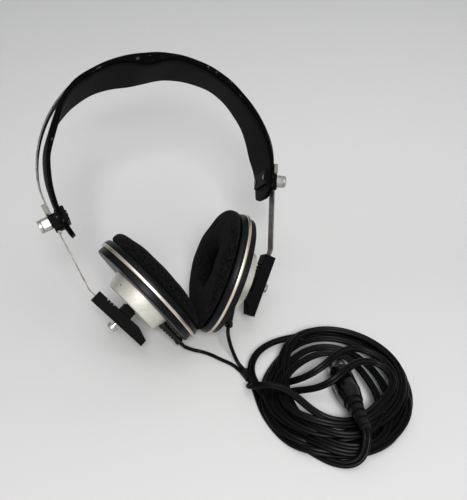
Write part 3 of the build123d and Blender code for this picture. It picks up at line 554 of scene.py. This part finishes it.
magnified.inputs[1].default_value = dent_magnifier
tree.links.new(from_dent.outputs["Value"], magnified.inputs[0])
# Painted shade: a small dark spot in the cap's colour where the dent sits, which has no relief of its
# own.
painted_dent_shade = ramp_of(tree, magnified.outputs[0], 0.12, 0.38, (0.06, 0.05, 0.04), (1, 1, 1))
tree.links.new(mixed(tree, "MULTIPLY", brushed, painted_dent_shade), shader.inputs["Base Color"])
bumped(tree, shader, noise_of(tree, 500.0, 5.0), 0.15)
trim_metal = grained("trim_metal", (0.74, 0.67, 0.56), 900.0, 3.0, 0.08, rough=0.36, metal=1.0)
satin_black = grained("satin_black", (0.004, 0.0045, 0.0055), 1400.0, 2.0, 0.10, rough=0.38, gloss=0.13)
cup_pieces = (
    ("spun_cap", "rear_cap", cap_outline, spun, "aluminium", 160),
    ("back_housing_look", "back_housing", housing_outline, satin_black, "black_plastic", 220),
    ("trim_ring_look", "trim_ring", trim_outline, trim_metal, "aluminium", 220),
    ("front_ring_look", "front_ring", front_ring_outline, satin_black, "black_plastic", 220),
)
for side in SIDES:
    for name, node, outline, material, slot, around in cup_pieces:
        piece = lathe(side + "_" + name, outline, cup_frame, side, around)
        piece.data.materials.append(material)
        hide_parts(side + "_" + node)
        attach(piece, side + "_cup")

# ------------------------------------------------------------------ knobs
# Turned clamp knobs: a fine knurl below a plain band with a groove, and a sunk end face.
knob_radius, knob_start, knob_end = 4.5, 2.35, 10.4
stud_radius, knurl_teeth, knurl_depth = 1.6, 64, 0.05
turned_metal = grained("turned_metal", (0.50, 0.49, 0.47), 700.0, 3.0, 0.1, rough=0.36, metal=1.0)
knob_outline = rounded(
    [(stud_radius, knob_start), (4.1, knob_start), (knob_radius, knob_start + 0.6),
     (knob_radius, knob_end - 2.5), (4.2, knob_end - 2.2), (knob_radius, knob_end - 1.8),
     (knob_radius, knob_end), (3.2, knob_end), (2.9, knob_end - 0.25), (stud_radius, knob_end - 0.25)],
    [0.1, 0.2, 0.25, 0.12, 0.12, 0.12, 0.4, 0.2, 0.15, 0.1])
a = np.linspace(0, 2 * np.pi, 256, endpoint=False)[:, None]
r, h = knob_outline[:, 0][None], knob_outline[:, 1][None]
on_knurl = (h > knob_start + 0.7) & (h < knob_end - 2.4) & (r > 4)
r = r + knurl_depth * np.sign(np.sin(knurl_teeth * a)) * on_knurl - knurl_depth
knob_points = np.stack([h + 0 * a, r * np.cos(a), r * np.sin(a)], -1)
for side in SIDES:
    knob = skin(side + "_turned_knob", placed(knob_points, clamp_frame, side), loop=True)
    knob.data.materials.append(turned_metal)
    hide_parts(side + "_knob")
    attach(knob, side + "_knob")

# ------------------------------------------------------------------ bow and arms
# The bow is one strip of bright spring steel, and the arms are thin flat strips of darker
# steel, each with a moulded stop tab at its upper end.
dark_steel, tree, shader = finish_of("dark_steel", (0.30, 0.28, 0.26), rough=0.5, metal=1.0)
dull_spots = ramp_of(tree, noise_of(tree, 240.0, 5.0), 0.35, 0.75,
                     (0.07, 0.055, 0.05), (0.20, 0.18, 0.17))
tree.links.new(dull_spots, shader.inputs["Base Color"])
bright_steel, tree, shader = finish_of("bright_steel", (0.40, 0.39, 0.37), rough=0.36, metal=1.0)
fine_spots = ramp_of(tree, noise_of(tree, 420.0, 6.0), 0.3, 0.75,
                     (0.03, 0.029, 0.027), (0.075, 0.073, 0.069))
tree.links.new(fine_spots, shader.inputs["Base Color"])
tab_grey = grained("tab_grey", (0.22, 0.20, 0.16), 900.0, 4.0, 0.2, rough=0.5)


def dress(material, *kinds):
    """Gives the CAD pieces of these kinds, on either side, one finish instead of their own."""
    for name, node in nodes.items():
        if name.removeprefix("left_").removeprefix("right_") in kinds:
            node.data.materials.clear()
            node.data.materials.append(material)


dress(bright_steel, "bow_spring")
dress(dark_steel, "arm_strip")
dress(tab_grey, "arm_stop")

# ------------------------------------------------------------------ clamps and yokes
# Moulded matt black guides, strap plates and yoke bars. Black rivets hold the plates, and a
# plated machine screw with a cross recess holds each bar.
matt_black = grained("matt_black", (0.0025, 0.0025, 0.003), 1200.0, 3.0, 0.2,
                     rough=0.55, gloss=0.10, ior=1.3)
gloss_black = grained("gloss_black", (0.0025, 0.0025, 0.0028), 500.0, 2.0, 0.06, rough=0.14, gloss=0.3)
plated = grained("plated", (0.50, 0.49, 0.47), 800.0, 3.0, 0.08, rough=0.26, metal=1.0)
dress(matt_black, "slider_guide", "strap_plate", "yoke_bar", "yoke_stem")
dress(gloss_black, "strap_rivets")
dress(plated, "yoke_screw")

# ------------------------------------------------------------------ inside the cups
# The cardan joint of plated steel, and the driver on its cloth-covered baffle: a ferrite
# magnet, a copper voice coil and a film diaphragm. A ribbed rubber boot holds the lead.
baffle_cloth, tree, shader = finish_of("baffle_cloth", (0.0012, 0.0012, 0.0013), rough=0.9, gloss=0.01)
bumped(tree, shader, noise_of(tree, 1300.0, 4.0), 0.4, 0.0003)
dress(baffle_cloth, "baffle")
dress(plated, "baffle_screws", "pivot_pin", "gimbal_ring", "ring_pins", "cup_bracket", "driver_frame")
dress(grained("ferrite", (0.05, 0.05, 0.055), 1200.0, 4.0, 0.3, rough=0.6), "driver_magnet")
dress(grained("copper", (0.70, 0.36, 0.20), 1500.0, 2.0, 0.1, rough=0.35, metal=1.0), "voice_coil")
dress(grained("film", (0.60, 0.58, 0.48), 600.0, 3.0, 0.1, rough=0.35), "diaphragm")
soft_rubber = grained("soft_rubber", (0.004, 0.004, 0.0042), 1100.0, 3.0, 0.15, rough=0.5, gloss=0.2)
dress(soft_rubber, "cable_boot")

# ------------------------------------------------------------------ plug
# A large glossy black plug with a rubber strain relief, a plated sleeve and gilt pins. The
# twin cord starts at a rubber junction and ends here.
dress(gloss_black, "plug_shell")
dress(soft_rubber, "plug_relief", "cord_junction")
dress(plated, "plug_sleeve")
dress(grained("gold_contacts", (0.85, 0.66, 0.32), 1200.0, 2.0, 0.05, rough=0.3, metal=1.0), "plug_pins")

# ------------------------------------------------------------------ stage
# A pale seamless paper sweep that rises close behind the headset, under a small bright light
# from the front and a wide soft one from above. Painted shade darkens the paper's colour as
# it rises.
sweep_start, sweep_radius, sweep_half_width = 0.05, 0.24, 2.5
bend = np.linspace(0, np.pi / 2, 40)
deep = np.r_[-2.5, sweep_start + sweep_radius * np.sin(bend), sweep_start + sweep_radius]
high = np.r_[0, sweep_radius * (1 - np.cos(bend)), 2.2]
back_way = np.array([forward[0], forward[1]]) / np.hypot(forward[0], forward[1])
aside = np.array([back_way[1], -back_way[0]])
edges = [np.c_[deep[:, None] * back_way + k * aside, high]
         for k in (-sweep_half_width, sweep_half_width)]
count = len(deep)
floor = bpy.data.objects.new("sweep", bpy.data.meshes.new("sweep"))
floor.data.from_pydata(np.vstack(edges).tolist(), [],
                       [(k, count + k, count + k + 1, k + 1) for k in range(count - 1)])
floor.data.polygons.foreach_set("use_smooth", np.ones(count - 1, bool))
scene.collection.objects.link(floor)
paper, tree, shader = finish_of("paper", (0.80, 0.80, 0.795), rough=0.75, gloss=0.25)
where = tree.nodes.new("ShaderNodeTexCoord")
split = tree.nodes.new("ShaderNodeSeparateXYZ")
tree.links.new(where.outputs["Object"], split.inputs["Vector"])
# Painted shade: the paper's colour darkens from the floor up the wall.
painted_wall_shade = ramp_of(tree, split.outputs["Z"], 0.0, 0.22, (0.80, 0.80, 0.795), (0.52, 0.525, 0.525))
tree.links.new(painted_wall_shade, shader.inputs["Base Color"])
floor.data.materials.append(paper)

# The room lights every surface a little, and shows brighter to the camera and in reflections.
room_light, room_seen = 0.14, 0.40
scene.world = bpy.data.worlds.new("world")
scene.world.use_nodes = True
tree = scene.world.node_tree
background = tree.nodes["Background"]
background.inputs[0].default_value = (0.98, 0.99, 1.0, 1)
ray = tree.nodes.new("ShaderNodeLightPath")
seen = tree.nodes.new("ShaderNodeMath")
seen.operation = "MAXIMUM"
level = tree.nodes.new("ShaderNodeMath")
level.operation = "MULTIPLY_ADD"
level.inputs[1].default_value, level.inputs[2].default_value = room_seen, room_light
tree.links.new(ray.outputs["Is Camera Ray"], seen.inputs[0])
tree.links.new(ray.outputs["Is Glossy Ray"], seen.inputs[1])
tree.links.new(seen.outputs[0], level.inputs[0])
tree.links.new(level.outputs[0], background.inputs[1])


def area_light(name, place, aim, width, power):
    """A square white softbox that faces a point."""
    light = bpy.data.objects.new(name, bpy.data.lights.new(name, "AREA"))
    light.data.size, light.data.energy = width, power
    back = np.array(place, float) - np.array(aim, float)
    back /= np.linalg.norm(back)
    sideways = np.cross((0, 1.0, 0), back)
    sideways /= np.linalg.norm(sideways)
    facing = np.eye(4)
    facing[:3, 0], facing[:3, 1] = sideways, np.cross(back, sideways)
    facing[:3, 2], facing[:3, 3] = back, place
    light.matrix_world = Matrix(facing)
    scene.collection.objects.link(light)


area_light("key", (-0.12, -0.85, 0.80), (0, -0.05, 0), 0.36, 8.6)
area_light("top", (0.05, -0.25, 1.2), (0, -0.05, 0), 0.8, 3.2)

scene.view_settings.view_transform = "Standard"
